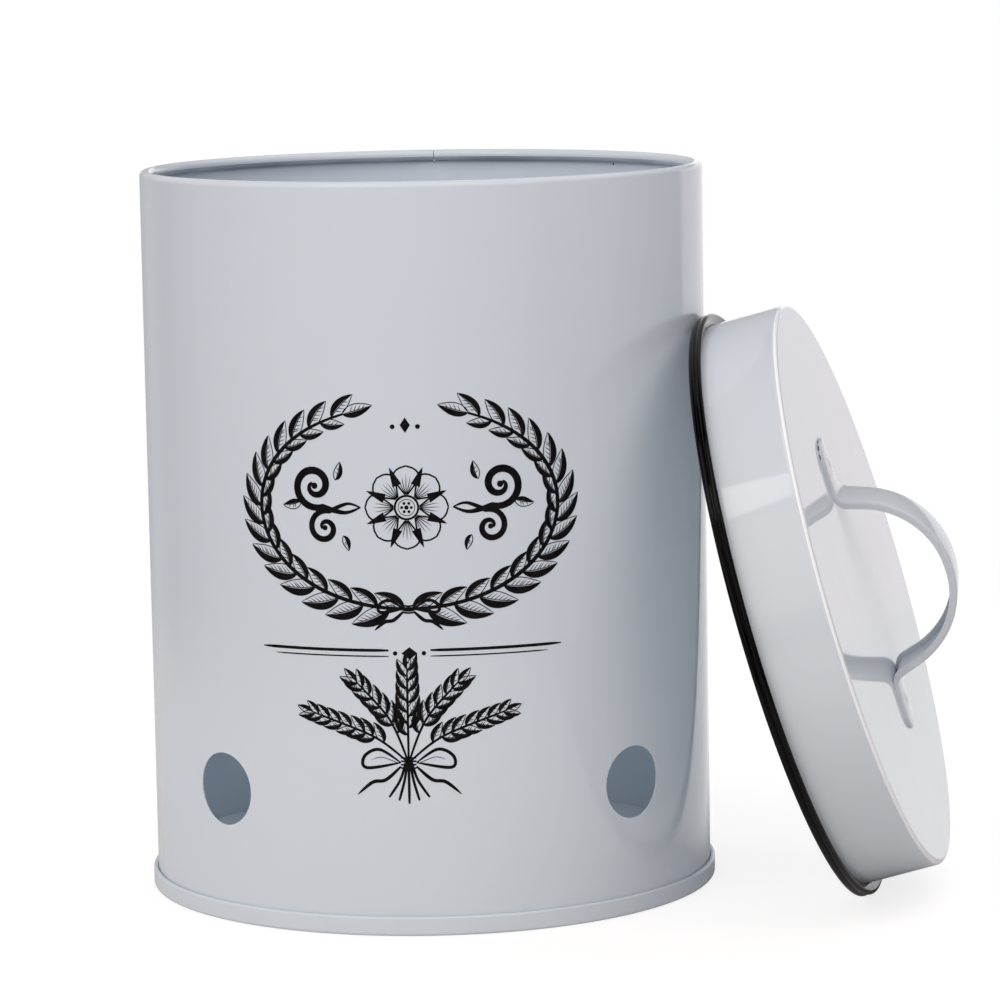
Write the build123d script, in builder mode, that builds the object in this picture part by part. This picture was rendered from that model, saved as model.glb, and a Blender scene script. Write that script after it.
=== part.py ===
from build123d import *
from math import cos, degrees, radians, sin
import os

# Onion storage canister: a seamed sheet canister with four vent holes, and
# its slip-over lid, which leans against the right side of the canister.
# Frame: +Z up, front along -Y, origin at the middle of the base on the floor.

# sheet and canister wall (mm, degrees)
SHEET = 0.5                   # gauge of wall, base plate and lid
WALL_RADIUS = 98.5            # outer face of the wall
BODY_HEIGHT = 253.0           # floor to the top of the curl
CURL_RADIUS = 2.0             # outer radius of the inward curl at the mouth
CURL_TURN = 300.0             # how far the sheet rolls round

# double seam at the foot of the canister
SEAM_PLAY = 0.05              # clearance between two layers of the seam
SEAM_HEIGHT = 6.5             # floor to the rounded top of the seam
SEAM_CORNER = 0.65            # centre-line bend radius at the floor
COVER_HOOK_LOW = 2.0          # lower end of the base plate's hook
BODY_HOOK_HIGH = 5.2          # upper end of the wall's hook
FLOOR_HEIGHT = 10.0           # inner floor above the ground
FLOOR_BEND = 1.2              # bend between base panel and its upright

# vent holes
VENT_DIAMETER = 25.0
VENT_HEIGHT = 45.5            # centre above the ground
VENT_COUNT = 4
VENT_START = -45.0            # first vent, right of the front

# lapped side seam at the back
LAP_RIGHT = 88.3              # angle of the outer sheet edge
LAP_WIDTH = 6.5               # overlap of the two sheet edges
JOG_WIDTH = 10.3              # inner sheet eases in under the outer one
LAP_CLEAR = 1.0               # lap ends above the inner floor
LAP_BELOW_MOUTH = 4.6         # lap ends below the top of the curl
JOINT_WIDTH = 0.3             # open line at the sheet edge
JOINT_DEPTH = 0.2
CURL_JOINT_DEPTH = 4.4        # joint cuts the whole roll of the curl

# lid pan
LID_HEIGHT = 30.0             # open edge of the trim to the top of the disc
LID_EDGE = 1.75               # centre-line bend between skirt and disc
FLANGE_OUT = 1.6              # out-turned flange beyond the skirt
FLANGE_LEVEL = 2.45           # middle of the flange above the open edge
FLANGE_BEND = 0.75            # centre-line bend between skirt and flange

# rubber trim round the open edge of the lid
TRIM_OUT = 2.4                # crests of the two ribs beyond the flange
TRIM_HEIGHT = 4.4
TRIM_PLAY = 0.05              # clearance between rubber and sheet
RIB_RADIUS = 1.1              # roundness of each rib
RIB_VALLEY = 0.55             # depth of the valley between the ribs
TRIM_EDGE = 0.3               # rounding of the trim's other edges
TRIM_SLOPE = 0.8              # fall of the upper face towards the skirt
TRIM_JOINT = 0.5              # gap where the trim's two ends meet
TRIM_JOINT_TURN = -98.0       # where that is, just past the lid's lowest point
LIP_PLAY = 0.3                # inner lip clear of the canister wall
LIP_THICK = 0.95              # rubber between the wall and the skirt
LIP_TOP = 5.4                 # inner lip, up inside the skirt
LIP_ROUND = 0.3               # rounding of the lip's top

# how the lid stands
LEAN = 16.15                  # disc tilted back from the upright
TURN = 10.5                   # disc turned towards the front
SIDE_SHIFT = -11.0            # centre along the wall, towards the front
LEAN_GAP = 0.5                # trim clear of the canister wall

# pressed handle strap, welded to the disc
STRAP_GAUGE = 1.2
STRAP_TURN = 10.5             # strap turned on the disc
STRAP_SHIFT = -4.0            # strap off the disc's middle, towards the front
STRAP_RISE = 31.7             # top of the arch above the disc
STRAP_DEPTH = 2.7             # depth of the pressed channel
STRAP_WIDTH = 17.4            # width of the arch
STRAP_EDGE = 1.0              # rounding of the channel's and feet's upper edges
ARCH_CORNER = 23.8            # leg line meets top line, from the middle
ARCH_RADIUS = 32.0            # outer radius of the arch's shoulders
LEG_SLOPE = 18.4              # legs lean inwards
LEG_BEND = 4.0                # hollow bend between leg and foot
FOOT_WIDTH = 19.0
FOOT_REACH = 54.1             # tip of each foot from the middle
FOOT_ROUND = 8.0              # plan rounding of the foot's corners
NECK_START = 3.0              # flanks narrow from here above the disc
NECK_RISE = 12.5              # to here
NECK_RADIUS = 30.0            # bends of the flanks
WELD_REACH = 44.4             # spot weld mark from the middle
WELD_RADIUS = 2.6
WELD_DEPTH = 0.45

os.makedirs("parts", exist_ok=True)

half_sheet = SHEET / 2
layer = SHEET + SEAM_PLAY
wall_mid = WALL_RADIUS - half_sheet
upright_mid = wall_mid - layer
cover_hook_mid = wall_mid + layer
body_hook_mid = wall_mid + 2 * layer
seam_mid = wall_mid + 3 * layer
wall_inner = WALL_RADIUS - SHEET

# the lid's fit over the wall
lip_inner = WALL_RADIUS + LIP_PLAY
lid_radius = lip_inner + LIP_THICK + TRIM_PLAY + SHEET
flange_radius = lid_radius + FLANGE_OUT
trim_radius = flange_radius + TRIM_OUT


# canister wall: inward curl, wall, and the hook folded into the double seam
curl_mid = CURL_RADIUS - half_sheet
curl_centre = (wall_mid - curl_mid, BODY_HEIGHT - CURL_RADIUS)
hook_bend_level = SHEET + SEAM_PLAY + half_sheet + layer
lap_arc = degrees(LAP_WIDTH / WALL_RADIUS)
jog_arc = degrees(JOG_WIDTH / WALL_RADIUS)
vent_step = 360.0 / VENT_COUNT


def polar(radius, angle):
    """Point in plan at a radius and an angle."""
    return (radius * cos(radians(angle)), radius * sin(radians(angle)))


with BuildPart() as body_shell:
    with BuildSketch(Plane.XZ) as wall_section:
        with BuildLine():
            CenterArc(curl_centre, curl_mid, 0, CURL_TURN)
            Line((wall_mid, curl_centre[1]), (wall_mid, hook_bend_level))
            CenterArc((cover_hook_mid, hook_bend_level), layer, 180, 180)
            Line((body_hook_mid, hook_bend_level), (body_hook_mid, BODY_HOOK_HIGH))
        trace(line_width=SHEET)
    revolve(axis=Axis.Z)

    # the sheet's inner edge laps over the joint at the back, and eases in
    # from the wall before it
    with BuildSketch(Plane.XY.offset(FLOOR_HEIGHT + LAP_CLEAR)):
        with BuildLine():
            jog_start = LAP_RIGHT - jog_arc
            under = CenterArc((0, 0), wall_inner - SHEET, LAP_RIGHT, lap_arc)
            inside = CenterArc((0, 0), wall_inner + half_sheet, jog_start, jog_arc + lap_arc)
            jog_middle = wall_inner - half_sheet
            ThreePointArc(inside @ 0, polar(jog_middle, LAP_RIGHT - jog_arc / 2), under @ 0)
            Line(under @ 1, inside @ 1)
        make_face()
    extrude(amount=BODY_HEIGHT - LAP_BELOW_MOUTH - FLOOR_HEIGHT - LAP_CLEAR)

    # the open line along the outer sheet edge, and through the curl
    joint_plane = Plane.XY.rotated((0, 0, LAP_RIGHT))
    with BuildSketch(joint_plane.offset(SEAM_HEIGHT + SHEET)):
        with Locations((WALL_RADIUS, 0)):
            Rectangle(2 * JOINT_DEPTH, JOINT_WIDTH)
    extrude(amount=BODY_HEIGHT, mode=Mode.SUBTRACT)
    with BuildSketch(joint_plane.offset(BODY_HEIGHT - CURL_JOINT_DEPTH)):
        with Locations((curl_centre[0], 0)):
            Rectangle(2 * CURL_RADIUS + SHEET, JOINT_WIDTH)
    extrude(amount=CURL_JOINT_DEPTH + SHEET, mode=Mode.SUBTRACT)

    # pierced vents, a pair at the front and a pair at the back
    for vent in range(VENT_COUNT):
        vent_angle = VENT_START + vent * vent_step
        vent_out = (cos(radians(vent_angle)), sin(radians(vent_angle)), 0)
        with BuildSketch(Plane(origin=(0, 0, VENT_HEIGHT), z_dir=vent_out)):
            Circle(VENT_DIAMETER / 2)
        extrude(amount=WALL_RADIUS + SHEET, mode=Mode.SUBTRACT)

body_shell.part.label = "body_shell"
export_step(body_shell.part, "parts/body_shell.step")


# base plate: raised panel, upright inside the wall, land on the floor, and
# the outer layer of the seam with its hook turned in and down
cover_bend_level = SEAM_HEIGHT - half_sheet - layer

with BuildPart() as base_plate:
    with BuildSketch(Plane.XZ) as base_section:
        with BuildLine():
            FilletPolyline(
                (0, FLOOR_HEIGHT - half_sheet),
                (upright_mid, FLOOR_HEIGHT - half_sheet),
                (upright_mid, half_sheet),
                (seam_mid, half_sheet),
                (seam_mid, cover_bend_level),
                radius=(FLOOR_BEND, SEAM_CORNER, SEAM_CORNER),
            )
            CenterArc((body_hook_mid, cover_bend_level), layer, 0, 180)
            Line((cover_hook_mid, cover_bend_level), (cover_hook_mid, COVER_HOOK_LOW))
        trace(line_width=SHEET)
    revolve(axis=Axis.Z)

base_plate.part.label = "base_plate"
export_step(base_plate.part, "parts/base_plate.step")


# the leaning lid: its axis points out and up, its trim stands on the floor
# and rests against the wall
lean_sin = sin(radians(LEAN))
lean_cos = cos(radians(LEAN))
turn_sin = sin(radians(TURN))
turn_cos = cos(radians(TURN))

rib_level = RIB_RADIUS
rib_centre_radius = trim_radius - RIB_RADIUS
rest_out = WALL_RADIUS + LEAN_GAP + RIB_RADIUS + rib_centre_radius * lean_sin
lid_out = rest_out - rib_level * lean_cos
lid_up = rib_centre_radius * lean_cos + RIB_RADIUS - rib_level * lean_sin

lid_axis = Vector(lean_cos * turn_cos, -lean_cos * turn_sin, lean_sin)
lid_side = Vector(turn_sin, turn_cos, 0)
lid_centre = Vector(
    lid_out * turn_cos + SIDE_SHIFT * turn_sin,
    SIDE_SHIFT * turn_cos - lid_out * turn_sin,
    lid_up,
)
lid_plane = Plane(origin=lid_centre, x_dir=lid_side, z_dir=lid_axis)
lid_section = Plane(origin=lid_centre, x_dir=lid_side, z_dir=-lid_plane.y_dir)
lid_spin = Axis(origin=lid_centre, direction=lid_axis)

lid_mid = lid_radius - half_sheet

with BuildPart() as lid_pan:
    with BuildSketch(lid_section):
        with BuildLine():
            FilletPolyline(
                (0, LID_HEIGHT - half_sheet),
                (lid_mid, LID_HEIGHT - half_sheet),
                (lid_mid, FLANGE_LEVEL),
                (flange_radius, FLANGE_LEVEL),
                radius=(LID_EDGE, FLANGE_BEND),
            )
        trace(line_width=SHEET)
    revolve(axis=lid_spin)

lid_pan.part.label = "lid_pan"
export_step(lid_pan.part, "parts/lid_pan.step")


# rubber trim: two ribs outside, a slot for the flange, a lip inside the skirt
skirt_outer = lid_radius + TRIM_PLAY
skirt_inner = lid_radius - SHEET - TRIM_PLAY
rib_upper_level = TRIM_HEIGHT - RIB_RADIUS
slot_low = FLANGE_LEVEL - half_sheet - TRIM_PLAY
slot_high = FLANGE_LEVEL + half_sheet + TRIM_PLAY
slot_end = flange_radius + TRIM_PLAY
valley_radius = trim_radius - RIB_VALLEY
trim_middle = TRIM_HEIGHT / 2

bend_play = half_sheet + TRIM_PLAY

with BuildPart() as lid_gasket:
    with BuildSketch(lid_section):
        with BuildLine():
            FilletPolyline(
                (lip_inner, 0),
                (rib_centre_radius, 0),
                (rib_centre_radius, TRIM_HEIGHT),
                (skirt_outer, TRIM_HEIGHT - TRIM_SLOPE),
                (skirt_outer, slot_high),
                (slot_end, slot_high),
                (slot_end, slot_low),
                (skirt_inner, slot_low),
                (skirt_inner, LIP_TOP),
                (lip_inner, LIP_TOP - LIP_ROUND),
                radius=(
                    TRIM_EDGE,
                    0,
                    0,
                    TRIM_EDGE,
                    FLANGE_BEND - bend_play,
                    0,
                    0,
                    FLANGE_BEND + bend_play,
                    LIP_ROUND,
                    LIP_ROUND,
                ),
                close=True,
            )
        make_face()
        with Locations((rib_centre_radius, rib_level), (rib_centre_radius, rib_upper_level)):
            Circle(RIB_RADIUS)
        with Locations(((slot_end + valley_radius) / 2, trim_middle)):
            Rectangle(valley_radius - slot_end, TRIM_HEIGHT / 2)
    revolve(axis=lid_spin)

    # the ends of the rubber strip don't quite meet
    trim_section = trim_radius - lip_inner
    with BuildSketch(lid_plane.offset(-SHEET)):
        with PolarLocations(lip_inner + trim_section / 2, 1, start_angle=TRIM_JOINT_TURN):
            Rectangle(2 * trim_section, TRIM_JOINT)
    extrude(amount=LIP_TOP + 2 * SHEET, mode=Mode.SUBTRACT)

lid_gasket.part.label = "lid_gasket"
export_step(lid_gasket.part, "parts/lid_gasket.step")


# handle strap: an arch pressed as a channel, with a flat foot at each end
strap_across = lid_side * cos(radians(STRAP_TURN)) + lid_plane.y_dir * sin(radians(STRAP_TURN))
top_plane = Plane(
    origin=lid_centre + lid_axis * LID_HEIGHT + lid_side * STRAP_SHIFT,
    x_dir=strap_across,
    z_dir=lid_axis,
)
strap_side = Plane(origin=top_plane.origin, x_dir=top_plane.y_dir, z_dir=top_plane.x_dir)
strap_front = Plane(origin=top_plane.origin, x_dir=top_plane.x_dir, z_dir=-top_plane.y_dir)
slope_sin = sin(radians(LEG_SLOPE))
slope_cos = cos(radians(LEG_SLOPE))
slope_tan = slope_sin / slope_cos
half_turn_tan = (1 - slope_sin) / slope_cos


def arch_face(inset, low, bend):
    """Side view of the strap: everything under the arch line set in by a depth."""
    top = STRAP_RISE - inset
    corner = ARCH_CORNER - inset * half_turn_tan
    root = corner + (top - low) * slope_tan
    shoulder = ARCH_RADIUS - inset
    with BuildSketch() as face:
        with BuildLine():
            line = FilletPolyline(
                (FOOT_REACH, low),
                (root, low),
                (corner, top),
                (-corner, top),
                (-root, low),
                (-FOOT_REACH, low),
                radius=(bend, shoulder, shoulder, bend),
            )
            Polyline(line @ 1, (-FOOT_REACH, -STRAP_GAUGE), (FOOT_REACH, -STRAP_GAUGE), line @ 0)
        make_face()
    return face.sketch


def flank_face(inset):
    """End view of the strap: its width narrows from the foot to the arch."""
    wide = FOOT_WIDTH / 2 - inset
    narrow = STRAP_WIDTH / 2 - inset
    with BuildSketch() as face:
        with BuildLine():
            edge = FilletPolyline(
                (wide, -STRAP_RISE),
                (wide, NECK_START),
                (narrow, NECK_RISE),
                (narrow, 2 * STRAP_RISE),
                radius=NECK_RADIUS,
            )
            Polyline(edge @ 1, (0, 2 * STRAP_RISE), (0, -STRAP_RISE), edge @ 0)
        make_face()
        mirror(about=Plane.YZ)
    return face.sketch


outer_side = arch_face(0, STRAP_GAUGE, LEG_BEND)
pocket_side = arch_face(STRAP_GAUGE, 0, LEG_BEND + STRAP_GAUGE)
opening_side = arch_face(STRAP_DEPTH, 0, LEG_BEND + STRAP_GAUGE)
outer_flank = flank_face(0)
pocket_flank = flank_face(STRAP_GAUGE)

weld_ball = (WELD_RADIUS**2 + WELD_DEPTH**2) / (2 * WELD_DEPTH)


def top_height(edge):
    """Height of an edge's middle above the disc."""
    return top_plane.to_local_coords(edge.center()).Z


with BuildPart() as arch_pocket:
    with BuildSketch(strap_side):
        add(pocket_side)
    extrude(amount=FOOT_WIDTH, both=True)
    with BuildSketch(strap_front):
        add(pocket_flank)
    extrude(amount=2 * FOOT_REACH, both=True, mode=Mode.INTERSECT)

with BuildPart() as lid_handle:
    with BuildSketch(strap_side):
        add(outer_side)
    extrude(amount=FOOT_WIDTH, both=True)
    with BuildSketch(strap_front):
        add(outer_flank)
    extrude(amount=2 * FOOT_REACH, both=True, mode=Mode.INTERSECT)
    with BuildSketch(top_plane):
        RectangleRounded(FOOT_WIDTH, 2 * FOOT_REACH, FOOT_ROUND)
    extrude(amount=2 * STRAP_RISE, mode=Mode.INTERSECT)

    # the pressed edge rolls over from foot tip to foot tip
    ridge = lid_handle.edges().filter_by(GeomType.LINE)
    ridge = ridge.filter_by(lambda edge: top_height(edge) > STRAP_RISE - STRAP_GAUGE)
    ridge = ridge.filter_by(lambda edge: edge.length < STRAP_WIDTH / 2)
    fillet(ridge, STRAP_EDGE)

    # the arch is open towards the disc, and hollow
    with BuildSketch(strap_side):
        add(opening_side)
    extrude(amount=FOOT_WIDTH, both=True, mode=Mode.SUBTRACT)
    add(arch_pocket.part, mode=Mode.SUBTRACT)

    # spot weld marks pressed into both feet
    for reach in (WELD_REACH, -WELD_REACH):
        mark_level = STRAP_GAUGE + weld_ball - WELD_DEPTH
        with Locations(top_plane.from_local_coords(Vector(0, reach, mark_level))):
            Sphere(weld_ball, mode=Mode.SUBTRACT)

lid_handle.part.label = "lid_handle"
export_step(lid_handle.part, "parts/lid_handle.step")
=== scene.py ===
import math

import bmesh
import bpy
from mathutils import Matrix, Vector


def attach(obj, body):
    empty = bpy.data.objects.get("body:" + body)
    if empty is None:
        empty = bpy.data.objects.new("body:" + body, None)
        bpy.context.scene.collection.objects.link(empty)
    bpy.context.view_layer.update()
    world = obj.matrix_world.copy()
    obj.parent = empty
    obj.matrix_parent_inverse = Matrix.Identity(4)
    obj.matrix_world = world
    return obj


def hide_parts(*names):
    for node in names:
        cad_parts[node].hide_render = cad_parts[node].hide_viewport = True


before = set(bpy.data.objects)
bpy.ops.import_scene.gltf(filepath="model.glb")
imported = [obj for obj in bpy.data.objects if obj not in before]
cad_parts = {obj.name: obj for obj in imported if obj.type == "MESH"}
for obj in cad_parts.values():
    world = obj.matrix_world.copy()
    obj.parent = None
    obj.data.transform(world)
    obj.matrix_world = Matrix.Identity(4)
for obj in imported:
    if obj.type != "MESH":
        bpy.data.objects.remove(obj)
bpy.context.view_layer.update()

# the object's main measures, in metres and degrees, as the solids have them
WALL_RADIUS = 0.0985
SHEET = 0.0005
LEAN = 16.15
TURN = 10.5
STRAP_TURN = 10.5
STRAP_SHIFT = -0.004
FOOT_REACH = 0.0541
FOOT_WIDTH = 0.019
FOOT_ROUND = 0.008
LID_HEIGHT = 0.030
LID_RADIUS = 0.1003
LID_EDGE = 0.00175            # bend of the sheet's middle between skirt and disc
FLANGE_OUT = 0.0016
FLANGE_LEVEL = 0.00245
FLANGE_BEND = 0.00075
FLOOR_HEIGHT = 0.010
FLOOR_BEND = 0.0012
SEAM_PLAY = 0.00005           # between two layers of the seam
SEAM_HEIGHT = 0.0065
SEAM_CORNER = 0.00065
HOOK_LOW = 0.0020             # where the seam's hook ends inside
TURNED_SIDES = 288            # of the two finely turned pieces
TURNED_MIDDLE = 0.06          # their flat middle ends here
BESIDE = 0.0004               # rings this close beside a bend
PAN_FIT = 0.9996              # keeps the finer rings within the coarser CAD mesh
BASE_FIT = 0.9998
CURL_MIDDLE = 0.0965          # the rolled rim's middle, out from the axis
CURL_LEVEL = 0.251
CURL_JOINT = 88.3             # plan angle of the joint in the rolled rim
RIM_HEIGHT = 0.2505           # the wall's inner face ends here, under the rolled rim
LID_CENTRE = Vector((0.12360504, -0.03409617, 0.09992143))

lean_sin, lean_cos = math.sin(math.radians(LEAN)), math.cos(math.radians(LEAN))
turn_sin, turn_cos = math.sin(math.radians(TURN)), math.cos(math.radians(TURN))
lid_axis = Vector((lean_cos * turn_cos, -lean_cos * turn_sin, lean_sin))
lid_side = Vector((turn_sin, turn_cos, 0.0))
lid_up = lid_axis.cross(lid_side)
strap_sin, strap_cos = math.sin(math.radians(STRAP_TURN)), math.cos(math.radians(STRAP_TURN))
strap_side = lid_side * strap_cos + lid_up * strap_sin
strap_way = lid_up * strap_cos - lid_side * strap_sin


# node helpers
def tree_of(material):
    material.use_nodes = True
    tree = material.node_tree
    tree.nodes.clear()
    return tree


def add(tree, kind, links=None, **values):
    """A node with its plain properties set and its inputs linked or given."""
    node = tree.nodes.new(kind)
    for key, value in values.items():
        setattr(node, key, value)
    for key, value in (links or {}).items():
        socket = node.inputs[key]
        if isinstance(value, bpy.types.NodeSocket):
            tree.links.new(value, socket)
        else:
            socket.default_value = value
    return node


def math_node(tree, operation, *terms, clamp=False):
    node = tree.nodes.new("ShaderNodeMath")
    node.operation = operation
    node.use_clamp = clamp
    for index, term in enumerate(terms):
        if isinstance(term, bpy.types.NodeSocket):
            tree.links.new(term, node.inputs[index])
        else:
            node.inputs[index].default_value = term
    return node.outputs[0]


def ramp(tree, value, low, high, to_low=0.0, to_high=1.0):
    node = add(tree, "ShaderNodeMapRange", {0: value, 1: low, 2: high, 3: to_low, 4: to_high})
    node.interpolation_type = "SMOOTHSTEP"
    return node.outputs[0]


def srgb(red, green, blue):
    def linear(value):
        value /= 255.0
        return value / 12.92 if value <= 0.04045 else ((value + 0.055) / 1.055) ** 2.4

    return (linear(red), linear(green), linear(blue), 1.0)


def mix_colour(tree, factor, first, second, blend="MIX"):
    node = tree.nodes.new("ShaderNodeMix")
    node.data_type = "RGBA"
    node.blend_type = blend
    for key, value in ((0, factor), (6, first), (7, second)):
        if isinstance(value, bpy.types.NodeSocket):
            tree.links.new(value, node.inputs[key])
        else:
            node.inputs[key].default_value = value
    return node.outputs[2]


def noise(tree, scale, detail=3.0, roughness=0.5, vector=None):
    if vector is None:
        vector = add(tree, "ShaderNodeTexCoord").outputs["Object"]
    links = {"Vector": vector, "Scale": scale, "Detail": detail, "Roughness": roughness}
    return add(tree, "ShaderNodeTexNoise", links).outputs["Fac"]


# where a surface lies, for the materials: the nodes' own coordinates are the frame's
def object_place(tree):
    return add(tree, "ShaderNodeTexCoord").outputs["Object"]


def vector_math(tree, operation, first, second=(0.0, 0.0, 0.0)):
    node = add(tree, "ShaderNodeVectorMath", {0: first, 1: second}, operation=operation)
    return node.outputs["Value" if operation in ("DOT_PRODUCT", "LENGTH") else "Vector"]


def within_round(tree, centre, axis, radius, top):
    """1 nearer the axis than the radius and lower along it than the top, else 0."""
    offset = vector_math(tree, "SUBTRACT", object_place(tree), centre)
    along_axis = vector_math(tree, "DOT_PRODUCT", offset, axis)
    away = vector_math(tree, "LENGTH", vector_math(tree, "CROSS_PRODUCT", offset, axis))
    near = math_node(tree, "LESS_THAN", away, radius)
    return math_node(tree, "MULTIPLY", near, math_node(tree, "LESS_THAN", along_axis, top))


def streaks(tree, across, down, fine, long):
    """Noise drawn out into lines: fine across them, long down them."""
    place = object_place(tree)
    sides = [vector_math(tree, "DOT_PRODUCT", place, way) for way in (across, down)]
    stretched = add(
        tree,
        "ShaderNodeCombineXYZ",
        {
            0: math_node(tree, "MULTIPLY", sides[0], 1.0 / fine),
            1: math_node(tree, "MULTIPLY", sides[1], 1.0 / long),
        },
    )
    return noise(tree, 1.0, 2.0, vector=stretched.outputs[0])


def wall_lines(tree, fine, long):
    """Noise drawn out into upright lines round the canister."""
    parts = add(tree, "ShaderNodeSeparateXYZ", {0: object_place(tree)})
    ahead = math_node(tree, "MULTIPLY", parts.outputs[1], -1.0)
    angle = math_node(tree, "ARCTAN2", parts.outputs[0], ahead)
    stretched = add(
        tree,
        "ShaderNodeCombineXYZ",
        {
            0: math_node(tree, "MULTIPLY", angle, WALL_RADIUS / fine),
            1: math_node(tree, "MULTIPLY", parts.outputs[2], 1.0 / long),
        },
    )
    return noise(tree, 1.0, 2.0, vector=stretched.outputs[0])


# materials
SPREAD = (0.3, 0.7)           # where noise is stretched between its two ends
COAT_IOR = 1.5


def relief(tree, distance, height, below=None, strength=1.0):
    """A bump of this height, in metres, on top of the one below."""
    sockets = {"Strength": strength, "Distance": distance, "Height": height}
    if below:
        sockets["Normal"] = below.outputs[0]
    return add(tree, "ShaderNodeBump", sockets)


def finish(tree, base, gloss, bump, specular=None):
    sockets = {
        "Base Color": base,
        "Roughness": gloss,
        "Normal": bump.outputs[0],
        "IOR": COAT_IOR,
    }
    if specular is not None:
        sockets["Specular IOR Level"] = specular
    shader = add(tree, "ShaderNodeBsdfPrincipled", sockets)
    output = add(tree, "ShaderNodeOutputMaterial")
    tree.links.new(shader.outputs[0], output.inputs[0])


def painted_crease_shade(tree, base, region, low_level, high_level, shade_colour):
    """Painted shade, patchy, within a round region and deeper up it."""
    parts = add(tree, "ShaderNodeSeparateXYZ", {0: object_place(tree)})
    depth = ramp(tree, parts.outputs[2], low_level, high_level)
    patchy = ramp(tree, noise(tree, 30.0, 2.0), 0.25, 0.7, 0.55, 1.0)
    share = math_node(tree, "MULTIPLY", within_round(tree, *region), depth)
    return mix_colour(tree, math_node(tree, "MULTIPLY", share, patchy), base, shade_colour)


def darker_streaks_and_specks(tree, base, colour, lines, level):
    """Fine darker streaks and specks on the lid, above a level along its axis."""
    dark = ramp(tree, streaks(tree, *lines), 0.50, 0.78, 0.0, 0.17)
    speck = ramp(tree, noise(tree, 900.0, 2.0), 0.67, 0.77, 0.0, 0.40)
    offset = vector_math(tree, "SUBTRACT", object_place(tree), LID_CENTRE)
    height = vector_math(tree, "DOT_PRODUCT", offset, lid_axis)
    on_top = math_node(tree, "GREATER_THAN", height, level)
    marked = math_node(tree, "MULTIPLY", math_node(tree, "MAXIMUM", dark, speck), on_top)
    return mix_colour(tree, marked, base, tuple(c * 0.72 for c in colour[:3]) + (1.0,))


def strap_relief(tree, below, middle, way, crown, line_width, line_depth):
    """The slight crown of a formed strap and the lines along it."""
    offset = vector_math(tree, "SUBTRACT", object_place(tree), middle)
    across = vector_math(tree, "DOT_PRODUCT", offset, way)
    bulge = math_node(tree, "MULTIPLY", math_node(tree, "MULTIPLY", across, across), -crown)
    spaced = math_node(tree, "MULTIPLY", across, 1.0 / line_width)
    place = add(tree, "ShaderNodeCombineXYZ", {0: spaced})
    lines = noise(tree, 1.0, 2.0, vector=place.outputs[0])
    height = math_node(tree, "ADD", bulge, math_node(tree, "MULTIPLY", lines, line_depth))
    return relief(tree, 1.0, height, below)


def paint(
    name,
    colour,
    rough,
    peel=0.000004,
    wave=0.00002,
    tint=0.006,
    inner=None,
    crease_shade=None,
    marks=None,
    drawn=None,
    strap=None,
):
    """Gloss lacquer on sheet metal: faint mottling, uneven gloss, fine orange
    peel, and the slow waves of the sheet under it. inner is a paler colour inside a
    round region, painted light and shade in a hollow; after it comes painted shade
    in the crease under the rim; marks are fine darker streaks on the flat top, drawn
    are lines of the rolled sheet, and strap is the slight crown and the lines along a
    formed strap."""
    material = bpy.data.materials.new(name)
    tree = tree_of(material)
    shade = ramp(tree, noise(tree, 9.0, 2.0), *SPREAD)
    low = tuple(channel * (1 - tint) for channel in colour[:3]) + (1.0,)
    high = tuple(min(channel * (1 + tint), 1.0) for channel in colour[:3]) + (1.0,)
    base = mix_colour(tree, shade, low, high)
    # paler inside a hollow: painted light and shade
    if inner:
        painted_inside_light, region = inner
        base = mix_colour(tree, within_round(tree, *region), base, painted_inside_light)
    # darker in the crease under the rim: painted shade
    if crease_shade:
        base = painted_crease_shade(tree, base, *crease_shade)
    if marks:
        base = darker_streaks_and_specks(tree, base, colour, *marks)
    gloss = ramp(tree, noise(tree, 40.0, 3.0), *SPREAD, rough * 0.9, rough * 1.1)
    bump = relief(tree, wave, noise(tree, 28.0, 1.0))
    if strap:
        bump = strap_relief(tree, bump, *strap)
    if drawn:
        fine_lines, long_lines, depth = drawn
        bump = relief(tree, depth, wall_lines(tree, fine_lines, long_lines), bump)
    bump = relief(tree, peel, noise(tree, 420.0, 2.0), bump)
    finish(tree, base, gloss, bump)
    return material


def plain_coat(name, tones, rough, scales, grain, specular=None):
    """A coat that varies between two tones and two roughnesses, with a grain of
    some strength and height. scales are those of tone, gloss and grain."""
    material = bpy.data.materials.new(name)
    tree = tree_of(material)
    tone_scale, gloss_scale, grain_scale = scales
    strength, height = grain
    base = mix_colour(tree, ramp(tree, noise(tree, tone_scale), *SPREAD), *tones)
    gloss = ramp(tree, noise(tree, gloss_scale), *SPREAD, *rough)
    bump = relief(tree, height, noise(tree, grain_scale), strength=strength)
    finish(tree, base, gloss, bump, specular)
    return material


def bare(name, dark, pale):
    """Steel where paint is missing, or painted shadow in the depth of a joint."""
    return plain_coat(name, (dark, pale), (0.45, 0.65), (2600.0, 1800.0, 3200.0), (0.5, 0.00001))


CANISTER_COLOUR = srgb(202, 214, 224)
# paler and bluer inside the mouth: painted light and shade there
CANISTER_INSIDE_LIGHT = srgb(208, 221, 232)
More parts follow.
